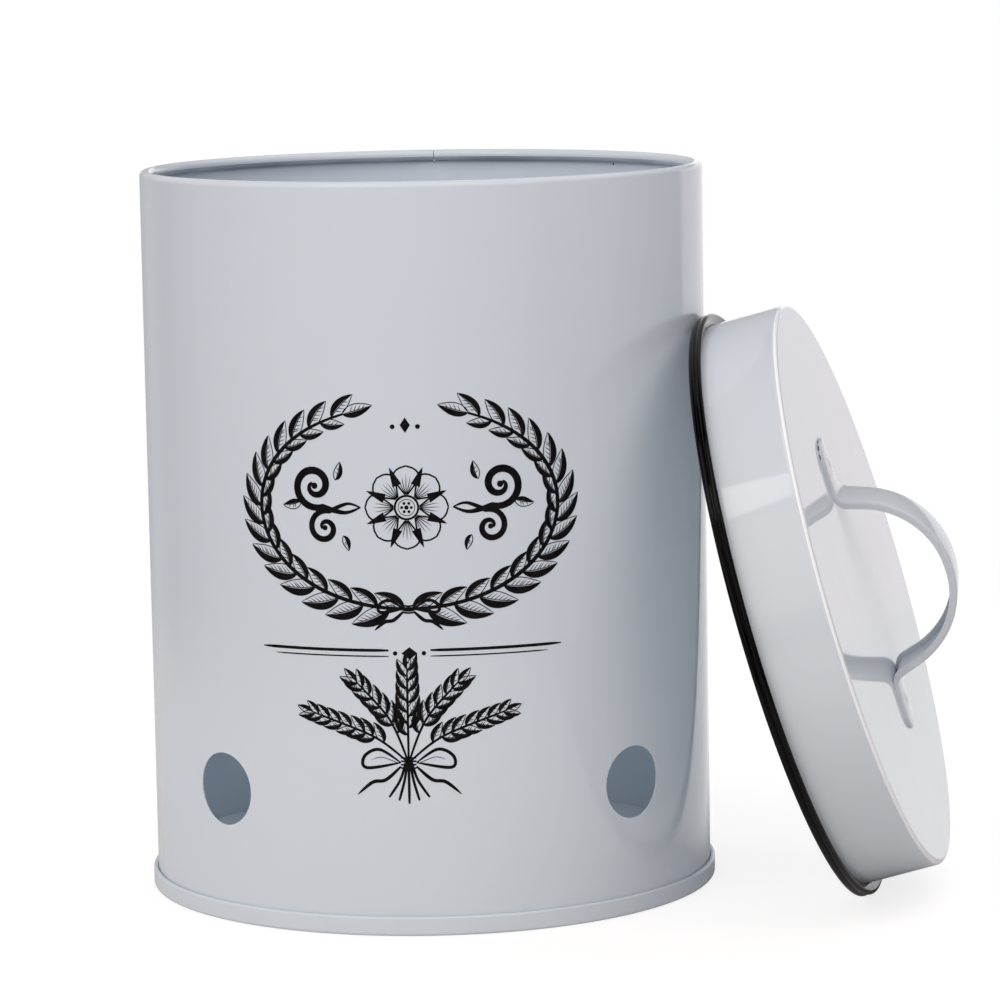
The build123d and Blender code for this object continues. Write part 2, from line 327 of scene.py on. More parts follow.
# much paler inside the lid's hollow: painted light there
LID_HOLLOW_LIGHT = srgb(243, 249, 253)
canister_inside = (Vector((0, 0, 0)), Vector((0, 0, 1)), WALL_RADIUS - SHEET / 2, RIM_HEIGHT)
lid_inside = (LID_CENTRE, lid_axis, LID_RADIUS - SHEET / 2, LID_HEIGHT - SHEET / 2)
canister_paint = paint(
    "canister_paint",
    CANISTER_COLOUR,
    0.08,
    inner=(CANISTER_INSIDE_LIGHT, canister_inside),
    # the crease under the rolled rim darkened: painted shade
    crease_shade=(canister_inside, 0.2474, 0.2490, srgb(146, 157, 169)),
    drawn=(0.0016, 0.12, 0.000005),
)
base_paint = paint("base_paint", CANISTER_COLOUR, 0.08)
lid_paint = paint(
    "lid_paint",
    srgb(201, 212, 221),
    0.06,
    0.000006,
    0.00003,
    inner=(LID_HOLLOW_LIGHT, lid_inside),
    marks=((lid_side, lid_up, 0.0009, 0.045), LID_HEIGHT - 0.00005),
)
handle_paint = paint(
    "handle_paint",
    srgb(196, 205, 214),
    0.07,
    strap=(LID_CENTRE + lid_side * STRAP_SHIFT, strap_side, 7.0, 0.0011, 0.00002),
)
# smooth black trim, shiny where it was extruded, with a little bloom
trim_rubber = plain_coat(
    "trim_rubber",
    ((0.001, 0.001, 0.0015, 1), (0.002, 0.002, 0.003, 1)),
    (0.05, 0.08),
    (40.0, 220.0, 500.0),
    (0.2, 0.000003),
    specular=0.15,
)
# black print, slightly uneven in depth and nearly matt
print_ink = plain_coat(
    "print_ink",
    ((0.003, 0.003, 0.004, 1), (0.008, 0.008, 0.009, 1)),
    (0.34, 0.46),
    (300.0, 500.0, 2500.0),
    (0.4, 0.000004),
    specular=0.06,
)
bare_metal = bare("bare_metal", srgb(38, 42, 48), srgb(74, 80, 88))
# painted shadow for the depth of the rim's joint
joint_shadow_grey = bare("joint_shadow_grey", srgb(104, 112, 122), srgb(132, 140, 150))

NODE_MATERIALS = {
    "body_shell": canister_paint,
    "base_plate": base_paint,
    "lid_pan": lid_paint,
    "lid_gasket": trim_rubber,
    "lid_handle": handle_paint,
}
for node_name, material in NODE_MATERIALS.items():
    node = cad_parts[node_name]
    for slot in node.material_slots:
        slot.link = "OBJECT"
        slot.material = material


# print on the wall, drawn flat in millimetres: along the wall, and up it
STEP = 0.7                    # a line bends on the wall in steps of this
INK_TOP = 0.030               # ink stands this far off the wall
INK_LAYERS = 5                # crossing lines lie a little above each other
INK_LAYER = 0.002
INK_ROOT = -0.12              # lower face, inside the sheet
HAIR = 0.03                   # width where a line runs out
RULE = 0.45                   # usual width of a drawn line
HATCH = 0.24                  # width of a shading line
HATCH_REACH = 0.78            # how far it runs to a leaf's edge
LEAF_TURN = 22.0              # how far a leaf on a sprig bends


def along(points, step=STEP):
    """Points on a smooth curve through the given ones."""
    chain = [points[0]] + list(points) + [points[-1]]
    out = []
    for a, b, c, d in zip(chain, chain[1:], chain[2:], chain[3:]):
        count = max(2, round(math.dist(b, c) / step))
        for index in range(count):
            t = index / count
            out.append(
                tuple(
                    0.5
                    * (
                        2 * b[k]
                        + (c[k] - a[k]) * t
                        + (2 * a[k] - 5 * b[k] + 4 * c[k] - d[k]) * t * t
                        + (3 * b[k] - a[k] - 3 * c[k] + d[k]) * t**3
                    )
                    for k in range(2)
                )
            )
    out.append(tuple(points[-1]))
    return out


def normals(points):
    """Unit sideways direction, to the left, at each point of a line."""
    out = []
    for index in range(len(points)):
        a = points[max(index - 1, 0)]
        b = points[min(index + 1, len(points) - 1)]
        size = math.dist(a, b)
        out.append(((a[1] - b[1]) / size, (b[0] - a[0]) / size))
    return out


def line(points, width=RULE, start=0.0, end=0.0, swell=0.25):
    """A pen line: its two edges. start and end are shares of the full width."""
    sides = normals(points)
    last = len(points) - 1
    left, right = [], []
    for index, (point, side) in enumerate(zip(points, sides)):
        t = index / last
        grow = min(1.0, start + (1 - start) * t / swell) if t < swell else 1.0
        fall = min(1.0, end + (1 - end) * (1 - t) / swell) if t > 1 - swell else 1.0
        half = max(HAIR, width * math.sin(math.pi / 2 * min(grow, fall))) / 2
        left.append((point[0] + side[0] * half, point[1] + side[1] * half))
        right.append((point[0] - side[0] * half, point[1] - side[1] * half))
    return (left, right)


def bow(start, heading, length, turn):
    """Points on an arc from a start, turning by an angle over its length."""
    count = max(3, round(length / STEP))
    points = [start]
    for index in range(count):
        angle = math.radians(heading + turn * (index + 0.5) / count)
        x, y = points[-1]
        ahead = math.cos(angle) * length / count
        points.append((x + ahead, y + math.sin(angle) * length / count))
    return points


def mirrored(strokes, middle):
    """The same strokes, the other way round a vertical line."""
    flip = lambda points: [(2 * middle - x, y) for x, y in points]
    return [(flip(right), flip(left)) for left, right in strokes]


def leaf(start, heading, length, width, turn=18.0, dark=1):
    """An engraved leaf: one half inked solid, the other outlined and hatched."""
    rib = bow(start, heading, length, turn)
    sides = normals(rib)
    last = len(rib) - 1

    def edge(sign, share=1.0):
        out = []
        for index, (point, side) in enumerate(zip(rib, sides)):
            t = index / last
            half = max(HAIR, share * width / 2 * math.sin(math.pi * t**0.8) ** 0.85)
            out.append((point[0] + sign * side[0] * half, point[1] + sign * side[1] * half))
        return out

    solid = edge(dark)
    pale = edge(-dark)
    inner = edge(dark, 0.12)
    strokes = [(solid, inner) if dark > 0 else (inner, solid)]
    strokes.append(line(pale, RULE * 0.7, 0.6, 0.3, 0.2))
    strokes.append(line(rib, RULE * 0.6, 1.0, 0.2))
    hatches = max(2, round(length / 2.0))
    for index in range(1, hatches):
        root = round(last * (0.12 + 0.66 * index / hatches))
        tip = min(last, root + max(1, round(last * 0.14)))
        far = tuple(rib[tip][k] + (pale[tip][k] - rib[tip][k]) * HATCH_REACH for k in range(2))
        half_way = tuple((rib[root][k] + far[k]) / 2 for k in range(2))
        strokes.append(line([rib[root], half_way, far], HATCH, 1.0, 0.0, 0.5))
    return strokes


def sprig(stem, pairs, length, width, open_angle, stem_width, first, tip_share, inner=1.0):
    """A stem with leaves on both sides, smaller towards its tip, and one at its end."""
    strokes = [line(stem, stem_width, 0.5, 0.35, 0.3)]
    last = len(stem) - 1
    for index in range(pairs):
        t = first + (1 - first) * index / pairs
        for sign in (1, -1):
            size = (1 - (1 - tip_share) * t) * (inner if sign > 0 else 1.0)
            at = round(last * min(1.0, t + (0.5 / pairs if sign < 0 else 0.0)))
            near = stem[max(at - 1, 0)]
            heading = math.degrees(math.atan2(stem[at][1] - near[1], stem[at][0] - near[0]))
            if at == 0:
                heading = math.degrees(math.atan2(stem[1][1] - near[1], stem[1][0] - near[0]))
            out = heading + sign * open_angle
            turn = -sign * LEAF_TURN
            strokes += leaf(stem[at], out, length * size, width * size, turn, sign)
    a, b = stem[-2], stem[-1]
    heading = math.degrees(math.atan2(b[1] - a[1], b[0] - a[0]))
    strokes += leaf(b, heading, length * tip_share, width * tip_share, 0.0, 1)
    return strokes


def ring_points(centre, radius_x, radius_y, start, end):
    count = max(6, round(math.radians(abs(end - start)) * max(radius_x, radius_y) / STEP))
    return [
        (
            centre[0] + radius_x * math.cos(math.radians(start + (end - start) * k / count)),
            centre[1] + radius_y * math.sin(math.radians(start + (end - start) * k / count)),
        )
        for k in range(count + 1)
    ]


def dot(centre, radius):
    """A round dot, as a band between its upper and lower half."""
    count = 12
    upper, lower = [], []
    for k in range(count + 1):
        angle = math.pi * k / count
        x = centre[0] - radius * math.cos(angle)
        rise = max(HAIR / 2, radius * math.sin(angle))
        upper.append((x, centre[1] + rise))
        lower.append((x, centre[1] - rise))
    return [(upper, lower)]


def diamond(centre, half_width, half_height):
    upper, lower = [], []
    count = 8
    for k in range(count + 1):
        t = 2 * k / count - 1
        rise = max(HAIR / 2, half_height * (1 - abs(t)))
        upper.append((centre[0] + t * half_width, centre[1] + rise))
        lower.append((centre[0] + t * half_width, centre[1] - rise))
    return [(upper, lower)]


def spiral(centre, radius, start, turns, shrink=0.16):
    """A line that winds in to an eye."""
    count = round(abs(turns) * 40)
    out = []
    for k in range(count + 1):
        t = k / count
        angle = math.radians(start + 360 * turns * t)
        r = radius * (1 - t) + radius * shrink * t
        out.append((centre[0] + r * math.cos(angle), centre[1] + r * math.sin(angle)))
    return out


def petal(start, heading, length, width):
    """A round-ended petal in outline, shaded with fine lines from its root."""
    rib = bow(start, heading, length, 0.0)
    sides = normals(rib)
    last = len(rib) - 1

    def edge(share):
        out = []
        for index, (point, side) in enumerate(zip(rib, sides)):
            t = index / last
            half = share * width / 2 * (0.12 * (1 - t) + math.sin(math.pi * t**1.7) ** 0.62)
            out.append((point[0] + side[0] * half, point[1] + side[1] * half))
        return out

    strokes = [line(edge(1.0), RULE * 1.3, 0.5, 0.8), line(edge(-1.0), RULE * 1.3, 0.5, 0.8)]
    for share, reach in ((-0.62, 0.50), (-0.32, 0.62), (0.0, 0.74), (0.32, 0.62), (0.62, 0.50)):
        vein = edge(share)[: max(3, round(last * reach) + 1)]
        strokes.append(line(vein, HATCH * 1.2, 1.0, 0.0, 0.6))
    return strokes


def rosette(centre, radius, petals=8):
    """A round flower: black leaves behind, shaded petals, and a seeded eye."""

    def at(share, angle):
        turn = math.radians(angle)
        x = centre[0] + share * radius * math.cos(turn)
        return (x, centre[1] + share * radius * math.sin(turn))

    strokes = []
    for k in range(petals):
        behind = 360 * (k + 0.5) / petals
        rib = bow(at(0.55, behind), behind, radius * 0.45, 0.0)
        sides = normals(rib)
        last = len(rib) - 1
        half = [max(HAIR, radius * 0.11 * (1 - k / last) ** 0.8) for k in range(last + 1)]
        strokes.append(
            (
                [(p[0] + s[0] * h, p[1] + s[1] * h) for p, s, h in zip(rib, sides, half)],
                [(p[0] - s[0] * h, p[1] - s[1] * h) for p, s, h in zip(rib, sides, half)],
            )
        )
        ahead = 360 * k / petals
        strokes += petal(at(0.30, ahead), ahead, radius * 0.66, radius * 0.56)
    for share, width in ((0.27, RULE * 1.6), (0.19, HATCH)):
        ring = ring_points(centre, radius * share, radius * share, 0, 360)
        strokes.append(line(ring, width, 1, 1))
    for k in range(6):
        strokes += dot(at(0.11, 60 * k), radius * 0.034)
    strokes += dot(centre, radius * 0.05)
    return strokes


def knot(centre, size):
    """A tied ribbon: two loops, two tails and the bound middle."""
    strokes = []
    x, y = centre

    def ribbon(offsets, width, start, end):
        path = along([(x + size * dx, y + size * dy) for dx, dy in offsets])
        return line(path, width, start, end, 0.35)

    loop = [(0.2, 0.0), (0.75, 0.34), (1.15, 0.16), (1.1, -0.14), (0.2, 0.0)]
    fold = [(0.3, 0.0), (0.7, 0.14), (0.98, 0.06)]
    tail = [(0.2, -0.1), (0.6, -0.45), (0.95, -0.52), (1.35, -0.85)]
    strokes.append(ribbon(loop, 1.1, 0.2, 0.2))
    strokes.append(ribbon(fold, HATCH, 0.8, 0.0))
    strokes.append(ribbon(tail, 1.2, 0.3, 0.1))
    strokes += mirrored(strokes, x)
    for k in range(4):
        rise = y + size * (0.13 - 0.09 * k)
        band = [(x - size * 0.2, rise), (x, rise - 0.25), (x + size * 0.2, rise)]
        strokes.append(line(band, 0.6, 1, 1))
    return strokes


MIDDLE = -5.0                 # the print's middle, left of the front
FLOWER = 145.0                # height of the flower, inside the wreath


def wreath():
    """Two laurel branches round an oval, tied at the foot."""
    centre = (MIDDLE, FLOWER)
    stem = ring_points(centre, 52.0, 34.0, -97.0, 66.0)
    half = sprig(stem, 15, 14.5, 6.0, 38.0, 1.4, 0.05, 0.74, 0.8)
    top = diamond((MIDDLE, FLOWER + 27.5), 1.7, 2.6)
    top += dot((MIDDLE - 4.2, FLOWER + 27.0), 0.8) + dot((MIDDLE + 4.2, FLOWER + 27.0), 0.8)
    foot = (MIDDLE, FLOWER - 34.0)
    return half + mirrored(half, MIDDLE) + top + knot(foot, 8.5)


def flourish():
    """Swelling pen scrolls either side of the flower."""
    root = (MIDDLE + 15.5, FLOWER)
    upper_eye = (MIDDLE + 31.5, FLOWER + 7.0)
    lower_eye = (MIDDLE + 28.0, FLOWER - 7.0)
    upper = spiral(upper_eye, 7.6, -112, 1.45)
    lower = spiral(lower_eye, 5.8, 106, -1.35)
    strokes = []
    for winding, near, width in (
        (upper, (MIDDLE + 21.0, FLOWER - 1.8), 2.5),
        (lower, (MIDDLE + 20.0, FLOWER + 1.2), 2.0),
    ):
        path = along([root, near, winding[0]]) + winding[1:]
        strokes.append(line(path, width, 0.12, 0.2, 0.42))
    strokes += leaf((MIDDLE + 36.5, FLOWER + 1.6), -24, 7.0, 3.4, 26, 1)
    strokes += leaf((MIDDLE + 24.0, FLOWER + 9.0), 118, 6.5, 3.0, -26, 1)
    strokes += leaf((MIDDLE + 21.5, FLOWER - 9.5), -122, 5.5, 2.6, 26, -1)
    strokes += dot(upper_eye, 1.1) + dot(lower_eye, 0.9)
    return strokes + mirrored(strokes, MIDDLE)


def rules():
    """A broken double rule with a diamond, under the wreath."""
    level = 97.0
    strokes = []
    for offset, width, reach in ((0.0, 1.0, 46.0), (-2.0, RULE, 41.0)):
        right = [(MIDDLE + 7.0 + STEP * k, level + offset) for k in range(round(reach / STEP))]
        strokes.append(line(right, width, 0.4, 0.2, 0.12))
    strokes += dot((MIDDLE + 4.8, level - 1.0), 0.75)
    strokes += mirrored(strokes, MIDDLE)
    return strokes + diamond((MIDDLE, level - 1.0), 2.7, 2.1)


def bundle():
    """Cut sprigs fanned out over a tie, with their stems below it."""
    x, y = tie = (MIDDLE - 1.0, 59.0)
    strokes = []
    fans = ((0.0, 31.5, 6, 9.5, 0.30), (17.0, 27.0, 6, 9.2, 0.34), (33.0, 16.5, 7, 8.6, 0.30))
    for reach, rise, pairs, size, bare in fans:
        stem = along([tie, (x + reach * 0.36, y + rise * 0.54), (x + reach, y + rise)])
        side = sprig(stem, pairs, size, size * 0.42, 40.0, 0.8, bare, 0.7)
        strokes += side
        if reach:
            strokes += mirrored(side, x)
    for k in range(-2, 3):
        foot = (x - k * 3.4, y - 14.0 + abs(k) * 1.1)
        stem = along([(x - k * 0.5, y), (x - k * 1.5, y - 6.0), foot])
        strokes.append(line(stem, 0.9, 0.8, 0.5, 0.3))
    return strokes + knot(tie, 13.0)


def solid(name, runs, material, body, slot):
    """One piece of closed skins. Each run is a row of rings of points, with its
    first and last ring capped."""
    verts, faces = [], []
    for rings in runs:
        size = len(rings[0])
        first = len(verts)
        for ring in rings:
            verts += ring
        faces.append(tuple(range(first, first + size)))
        for index in range(len(rings) - 1):
            at = first + size * index
            for k in range(size):
                after = (k + 1) % size
                faces.append((at + k, at + size + k, at + size + after, at + after))
        end = first + size * (len(rings) - 1)
        faces.append(tuple(reversed(range(end, end + size))))
    mesh = bpy.data.meshes.new(name)
    mesh.from_pydata([tuple(v) for v in verts], [], faces)
    mesh.validate()
    skin = bmesh.new()
    skin.from_mesh(mesh)
    bmesh.ops.recalc_face_normals(skin, faces=skin.faces)
    skin.to_mesh(mesh)
    skin.free()
    mesh.materials.append(material)
    piece = bpy.data.objects.new(name, mesh)
    bpy.context.scene.collection.objects.link(piece)
    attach(piece, body)
    return piece


def printed(name, strokes):
    """Lays strokes on the wall as thin solids of ink, and joins them into one piece."""

    def lay(point, lift):
        radius = WALL_RADIUS * 1000 + lift
        angle = point[0] / (WALL_RADIUS * 1000)
        return (
            radius * math.sin(angle) / 1000,
            -radius * math.cos(angle) / 1000,
            point[1] / 1000,
        )

    runs = []
    for number, (left, right) in enumerate(strokes):
        top = INK_TOP + INK_LAYER * (number % INK_LAYERS)
        runs.append(
            [
                [lay(a, top), lay(b, top), lay(b, INK_ROOT), lay(a, INK_ROOT)]
                for a, b in zip(left, right)
            ]
        )
    solid(name, runs, print_ink, "canister", "canister_paint")


printed("print_wreath", wreath())
printed("print_flower", rosette((MIDDLE, FLOWER), 14.5) + flourish())
printed("print_rules", rules())
printed("print_sprigs", bundle())


# small marks: painted shadow in the open joint of the rolled rim, a chip in the paint under the
# rim, and dark slivers at a foot's edge
JOINT_RADIUS = 0.00172        # the painted shadow in the joint, just within the roll
JOINT_LENGTH = 0.0008
CHIP_ANGLE = 45.2             # plan angle of the chip under the rim
CHIP_LEVEL = 0.2480
CHIP_RADIUS = 0.00042
CHIP_DEPTH = 0.00016
SLIVERS = ((84, 104, 0.00034), (113, 131, 0.00042), (141, 156, 0.00034))
SLIVER_STEPS = 14
SLIVER_OUT = 0.00005          # slivers stand this far out of the foot's edge
SLIVER_IN = 0.00020


def circle(centre, across, other, radius, sides):
    turns = [2 * math.pi * k / sides for k in range(sides)]
    return [
        centre + across * (radius * math.cos(t)) + other * (radius * math.sin(t)) for t in turns
    ]


def rod(middle, way, radius, length, sides=24):
    """A run of two rings: a short round rod about a middle."""
    way = way.normalized()
    across = way.orthogonal().normalized()
    other = way.cross(across)
    return [
        circle(middle + way * (end * length), across, other, radius, sides)
        for end in (-0.5, 0.5)
    ]


def plan_way(angle):
    return Vector((math.cos(math.radians(angle)), math.sin(math.radians(angle)), 0.0))


def curl_joint_shadow():
    """Painted shadow in the joint where the rolled rim's two ends meet: a grey rod just within
    the roll.
    """
    out = plan_way(CURL_JOINT)
    middle = out * CURL_MIDDLE + Vector((0, 0, CURL_LEVEL))
    shown = rod(middle, plan_way(CURL_JOINT + 90), JOINT_RADIUS, JOINT_LENGTH)
    solid("rim_joint_shadow", [shown], joint_shadow_grey, "canister", "canister_paint")


def rim_chip():
    """A round chip on the wall's inner face, under the back of the rim."""
    out = plan_way(CHIP_ANGLE)
    middle = out * (WALL_RADIUS - SHEET) + Vector((0, 0, CHIP_LEVEL))
    chip = rod(middle, out, CHIP_RADIUS, CHIP_DEPTH, 12)
    solid("rim_chip", [chip], bare_metal, "canister", "canister_paint")


def foot_edge_slivers():
    """Dark slivers along the upper foot's rounded edge."""
    root = LID_CENTRE + lid_side * STRAP_SHIFT
    corner = (FOOT_ROUND - FOOT_WIDTH / 2, FOOT_REACH - FOOT_ROUND)
    runs = []
    for start, end, rise in SLIVERS:
        rings = []
        for k in range(SLIVER_STEPS + 1):
            t = k / SLIVER_STEPS
            angle = math.radians(start + (end - start) * t)
            high = (0.25 + 0.75 * math.sin(math.pi * t) ** 0.6) * rise
            rings.append(
                [
                    root
                    + strap_side * (corner[0] + radius * math.cos(angle))
                    + strap_way * (corner[1] + radius * math.sin(angle))
                    + lid_axis * (LID_HEIGHT + level)
                    for radius, level in (
                        (FOOT_ROUND + SLIVER_OUT, -SLIVER_OUT),
                        (FOOT_ROUND + SLIVER_OUT, high),
                        (FOOT_ROUND - SLIVER_IN, high),
                        (FOOT_ROUND - SLIVER_IN, -SLIVER_OUT),
                    )
                ]
            )
        runs.append(rings)
    solid("foot_edge_slivers", runs, bare_metal, "lid", "handle_paint")


# the two round sheet pieces whose bends catch the light
SMOOTH_ANGLE = 30             # edges sharper than this stay sharp in shading


def flat(radius, level, out, up):
    """A point of a sheet's middle line, with the way its upper face looks."""
    return [((radius, level), (out, up))]


def bend(centre, radius, start, end, steps, hollow=False):
    """Points of a sheet's middle line round a bend. The upper face looks away from
    the bend's centre, or towards it where the bend is hollow."""
    points = []
    for k in range(steps + 1):
        angle = math.radians(start + (end - start) * k / steps)
        out, up = math.cos(angle), math.sin(angle)
        way = (-out, -up) if hollow else (out, up)
        points.append(((centre[0] + radius * out, centre[1] + radius * up), way))
    return points


def turned_sheet(name, middle_line, fit, frame_of, labels):
    """A round sheet piece again, turned finely enough for its edges to catch the
    light evenly. It stands for the node that it has the section of."""
    centre, axis, side, up = frame_of
    material, body, slot, node = labels
    half = SHEET / 2
    faces = [
        [(x + out * half * way, z + rise * half * way) for (x, z), (out, rise) in middle_line]
        for way in (1, -1)
    ]
    section = faces[0] + faces[1][::-1]
    rings = [
        circle(centre + axis * level, side, up, radius * fit, TURNED_SIDES)
        for radius, level in section
    ]
    piece = solid(name, [rings], material, body, slot)
    piece.data.shade_smooth()
    piece.data.set_sharp_from_angle(angle=math.radians(SMOOTH_ANGLE))
    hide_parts(node)


def fine_pan():
    """The lid's disc, skirt and flange. Close rings beside a bend keep the flat
    faces flat in shading."""
    wall, top = LID_RADIUS - SHEET / 2, LID_HEIGHT - SHEET / 2
    edge = (wall - LID_EDGE, top - LID_EDGE)
    foot = (wall + FLANGE_BEND, FLANGE_LEVEL + FLANGE_BEND)
    middle_line = (
        flat(TURNED_MIDDLE, top, 0, 1)
        + flat(edge[0] - BESIDE, top, 0, 1)
        + bend(edge, LID_EDGE, 90, 0, 16)
        + flat(wall, edge[1] - BESIDE, 1, 0)
        + flat(wall, foot[1] + BESIDE, 1, 0)
        + bend(foot, FLANGE_BEND, 180, 270, 8, hollow=True)
        + flat(LID_RADIUS + FLANGE_OUT, FLANGE_LEVEL, 0, 1)
    )
    frame_of = (LID_CENTRE, lid_axis, lid_side, lid_up)
    labels = (lid_paint, "lid", "lid_paint", "lid_pan")
    turned_sheet("lid_pan_fine", middle_line, PAN_FIT, frame_of, labels)


def fine_base():
    """The raised bottom panel, its upright, the land on the floor and the outer
    layer of the seam with its hook."""
    half = SHEET / 2
    layer = SHEET + SEAM_PLAY
    wall = WALL_RADIUS - half
    upright, outer = wall - layer, wall + 3 * layer
    hook_bend = SEAM_HEIGHT - half - layer
    floor_bend = (upright - FLOOR_BEND, FLOOR_HEIGHT - half - FLOOR_BEND)
    low = half + SEAM_CORNER
    middle_line = (
        flat(TURNED_MIDDLE, FLOOR_HEIGHT - half, 0, 1)
        + flat(floor_bend[0] - BESIDE, FLOOR_HEIGHT - half, 0, 1)
        + bend(floor_bend, FLOOR_BEND, 90, 0, 10)
        + flat(upright, floor_bend[1] - BESIDE, 1, 0)
        + flat(upright, low + BESIDE, 1, 0)
        + bend((upright + SEAM_CORNER, low), SEAM_CORNER, 180, 270, 8, hollow=True)
        + bend((outer - SEAM_CORNER, low), SEAM_CORNER, 270, 360, 8, hollow=True)
        + flat(outer, low + BESIDE, -1, 0)
        + flat(outer, hook_bend - BESIDE, -1, 0)
        + bend((wall + 2 * layer, hook_bend), layer, 0, 180, 16, hollow=True)
        + flat(wall + layer, HOOK_LOW, 1, 0)
    )
    frame_of = (Vector((0, 0, 0)), Vector((0, 0, 1)), Vector((1, 0, 0)), Vector((0, 1, 0)))
    labels = (base_paint, "canister", "base_paint", "base_plate")
    turned_sheet("base_plate_fine", middle_line, BASE_FIT, frame_of, labels)


curl_joint_shadow()
rim_chip()
foot_edge_slivers()
fine_pan()
fine_base()


# floor and light
FLOOR_GREY = 0.64             # what the floor throws back on the object
FLOOR_NEAR = 0.35             # the object's shadow shows within this radius
FLOOR_FAR = 0.80              # and the floor is plain white beyond this one
FLOOR_WHITEN = 0.60           # how much of the shadow is lifted for the camera
FLOOR_GLOW = 1.33
FLOOR_HALF = 1.0
FLOOR_LEVEL = -0.0002
LIT_SIDE = (0.10, 0.15)       # reflections see the plain floor right of this
LIT_BACK = (-0.02, 0.05)      # and behind this
WHITE = (1.0, 1.0, 1.0, 1.0)


def white_floor():
    mesh = bpy.data.meshes.new("floor")
    corners = ((-1, -1), (1, -1), (1, 1), (-1, 1))
    verts = [(x * FLOOR_HALF, y * FLOOR_HALF, FLOOR_LEVEL) for x, y in corners]
    mesh.from_pydata(verts, [], [(0, 1, 2, 3)])
    floor = bpy.data.objects.new("floor", mesh)
    bpy.context.scene.collection.objects.link(floor)
    material = bpy.data.materials.new("floor_white")
    tree = tree_of(material)

    def mixed(factor, first, second):
        node = add(tree, "ShaderNodeMixShader", {0: factor})
        tree.links.new(first.outputs[0], node.inputs[1])
        tree.links.new(second.outputs[0], node.inputs[2])
        return node

    place = add(tree, "ShaderNodeTexCoord").outputs["Object"]
    reach = add(tree, "ShaderNodeVectorMath", {0: place}, operation="LENGTH").outputs["Value"]
    plain = ramp(tree, reach, FLOOR_NEAR, FLOOR_FAR)
    path = add(tree, "ShaderNodeLightPath")
    parts = add(tree, "ShaderNodeSeparateXYZ", {0: place})
    lit_side = math_node(
        tree,
        "MULTIPLY",
        ramp(tree, parts.outputs[0], *LIT_SIDE),
        ramp(tree, parts.outputs[1], *LIT_BACK),
    )
    mirrored = math_node(tree, "MULTIPLY", path.outputs["Is Glossy Ray"], lit_side)
    shown = math_node(tree, "MAXIMUM", path.outputs["Is Camera Ray"], mirrored)
    grey = (FLOOR_GREY, FLOOR_GREY, FLOOR_GREY, 1)
    diffuse = add(tree, "ShaderNodeBsdfDiffuse", {"Color": grey})
    clear = add(tree, "ShaderNodeBsdfTransparent")
    lifted = add(tree, "ShaderNodeEmission", {"Color": WHITE, "Strength": FLOOR_GLOW})
    white = add(tree, "ShaderNodeEmission", {"Color": WHITE, "Strength": 1.0})
    seen = mixed(plain, mixed(FLOOR_WHITEN, diffuse, lifted), white)
    felt = mixed(plain, diffuse, clear)
    surface = mixed(shown, felt, seen)
    output = add(tree, "ShaderNodeOutputMaterial")
    tree.links.new(surface.outputs[0], output.inputs[0])
    mesh.materials.append(material)


# the room round the object, in patches: degrees round from the front (right is
# positive) where each starts, is full, starts to fade and ends, the same for
# degrees above the horizon, then how bright it shines, how bright it is in
# reflections, and its tint
ALL_LOW = (-95, -91, -3, 3)
ALL_MIDDLE = (-3, 3, 32, 42)
ALL_HIGH = (32, 42, 66, 74)
BEHIND_RIGHT = (131.5, 134.5, 200, 210)
WARM = (1.10, 0.96, 0.91)
MILD = (1.04, 1.00, 0.97)
EVEN = (1.035, 0.985, 1.00)
COOL = (1.03, 1.05, 1.09)
ROOM = (
    ((-80, -50, 50, 80), ALL_LOW, 0.73, 0.05, MILD),
    ((50, 80, 131.5, 134.5), ALL_LOW, 0.03, 0.42, MILD),
    ((-300, -299, -150, -120), ALL_LOW, 1.45, 0.42, COOL),
    (BEHIND_RIGHT, (-95, -91, -16, -12), 1.42, 1.05, EVEN),
    (BEHIND_RIGHT, (-16, -12, -2, 2), 1.50, 1.02, EVEN),
    (BEHIND_RIGHT, (-2, 2, 10, 14), 1.50, 1.04, COOL),
    (BEHIND_RIGHT, (10, 14, 32, 42), 0.20, 0.30, MILD),
    ((-60, -30, 30, 60), ALL_MIDDLE, 1.25, 0.71, WARM),
    ((-120, -90, -60, -30), ALL_MIDDLE, 1.05, 0.61, WARM),
    ((-300, -299, -120, -90), ALL_MIDDLE, 1.85, 0.42, MILD),
    ((-90, -60, 60, 90), ALL_HIGH, 0.99, 0.10, WARM),
    ((60, 90, 200, 210), ALL_HIGH, 1.82, 0.62, EVEN),
)


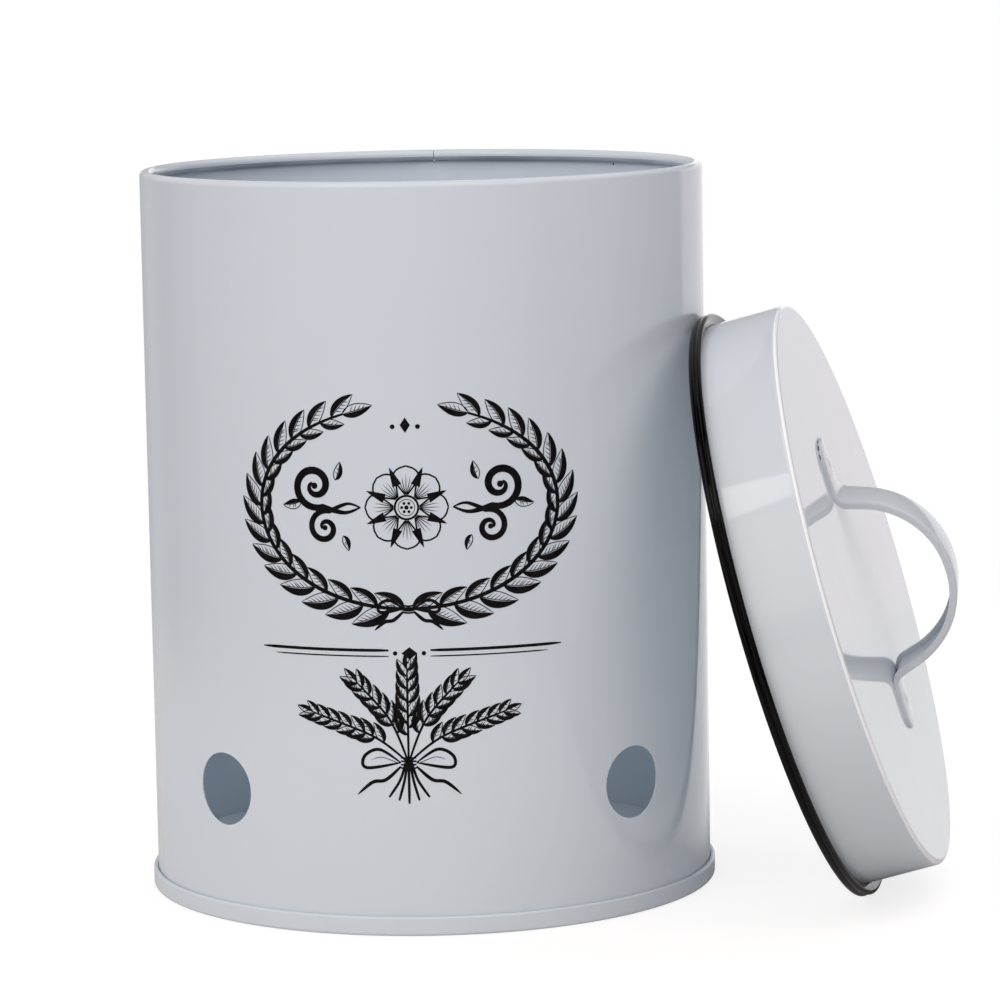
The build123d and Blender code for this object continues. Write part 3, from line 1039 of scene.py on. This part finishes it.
def studio_world():
    world = bpy.data.worlds.new("studio")
    bpy.context.scene.world = world
    world.use_nodes = True
    tree = world.node_tree
    tree.nodes.clear()
    way = add(tree, "ShaderNodeTexCoord").outputs["Generated"]
    parts = add(tree, "ShaderNodeSeparateXYZ", {0: way})
    ahead = math_node(tree, "MULTIPLY", parts.outputs[1], -1.0)
    turn = math_node(tree, "DEGREES", math_node(tree, "ARCTAN2", parts.outputs[0], ahead))
    rise = math_node(tree, "DEGREES", math_node(tree, "ARCSINE", parts.outputs[2]))

    def band(value, start, full, fade, end):
        rising = ramp(tree, value, start, full)
        return math_node(tree, "SUBTRACT", rising, ramp(tree, value, fade, end))

    path = add(tree, "ShaderNodeLightPath")
    total = (0.0, 0.0, 0.0)
    for sides, levels, felt, mirrored, tint in ROOM:
        share = math_node(tree, "MULTIPLY", band(turn, *sides), band(rise, *levels))
        change = math_node(tree, "MULTIPLY", path.outputs["Is Glossy Ray"], mirrored - felt)
        power = math_node(tree, "MULTIPLY", share, math_node(tree, "ADD", change, felt))
        scaled = add(tree, "ShaderNodeVectorMath", {0: tint, "Scale": power}, operation="SCALE")
        total = vector_math(tree, "ADD", total, scaled.outputs[0])
    seen = add(tree, "ShaderNodeBackground", {"Color": total, "Strength": 1.0})
    white = add(tree, "ShaderNodeBackground", {"Color": WHITE, "Strength": 1.0})
    mixed = add(tree, "ShaderNodeMixShader", {0: path.outputs["Is Camera Ray"]})
    tree.links.new(seen.outputs[0], mixed.inputs[1])
    tree.links.new(white.outputs[0], mixed.inputs[2])
    output = add(tree, "ShaderNodeOutputWorld")
    tree.links.new(mixed.outputs[0], output.inputs[0])


LAMP_TARGET = Vector((0.05, 0.0, 0.12))
# direction and distance from the target, face, radiance and tint
LAMPS = (
    ("left_box", -41.0, 42.0, 1.9, 0.42, 0.46, 2.85, EVEN),
    ("right_box", 43.0, 42.0, 1.9, 0.36, 0.40, 2.3, MILD),
    ("top_bank", 0.0, 62.0, 2.2, 1.8, 1.2, 1.35, MILD),
)


def softbox(name, azimuth, elevation, distance, width, height, radiance, colour):
    """A lamp with a face, placed by its direction from the object's middle."""
    turn, rise = math.radians(azimuth), math.radians(elevation)
    way = Vector(
        (math.sin(turn) * math.cos(rise), -math.cos(turn) * math.cos(rise), math.sin(rise))
    )
    light = bpy.data.lights.new(name, "AREA")
    light.shape = "RECTANGLE"
    light.size = width
    light.size_y = height
    light.energy = radiance * math.pi * width * height
    light.color = colour
    lamp = bpy.data.objects.new(name, light)
    lamp.location = LAMP_TARGET + way * distance
    lamp.rotation_euler = (-way).to_track_quat("-Z", "Y").to_euler()
    bpy.context.scene.collection.objects.link(lamp)


white_floor()
studio_world()
for lamp_values in LAMPS:
    softbox(*lamp_values)


# the photograph's camera
CAMERA_DISTANCE = 1.54386
CAMERA_HEIGHT = 0.33982
CAMERA_TURNS = (1.2, -0.249, 7.600, -1.020)   # azimuth, yaw, pitch, roll
CAMERA_LENS = 158.36


def photo_camera():
    azimuth, yaw, pitch, roll = (math.radians(v) for v in CAMERA_TURNS)
    data = bpy.data.cameras.new("camera")
    data.sensor_width = 36.0
    data.lens = CAMERA_LENS
    data.clip_start = 0.05
    data.clip_end = 50.0
    camera = bpy.data.objects.new("camera", data)
    bpy.context.scene.collection.objects.link(camera)
    forward = Vector(
        (math.sin(yaw) * math.cos(pitch), math.cos(yaw) * math.cos(pitch), -math.sin(pitch))
    )
    right = forward.cross(Vector((0, 0, 1))).normalized()
    up = right.cross(forward)
    rolled_right = math.cos(roll) * right + math.sin(roll) * up
    rolled_up = math.cos(roll) * up - math.sin(roll) * right
    turn = Matrix((rolled_right, rolled_up, -forward)).transposed()
    place = Vector(
        (
            CAMERA_DISTANCE * math.sin(azimuth),
            -CAMERA_DISTANCE * math.cos(azimuth),
            CAMERA_HEIGHT,
        )
    )
    camera.matrix_world = Matrix.Translation(place) @ turn.to_4x4()
    bpy.context.scene.camera = camera


photo_camera()
bpy.context.scene.view_settings.view_transform = "Standard"
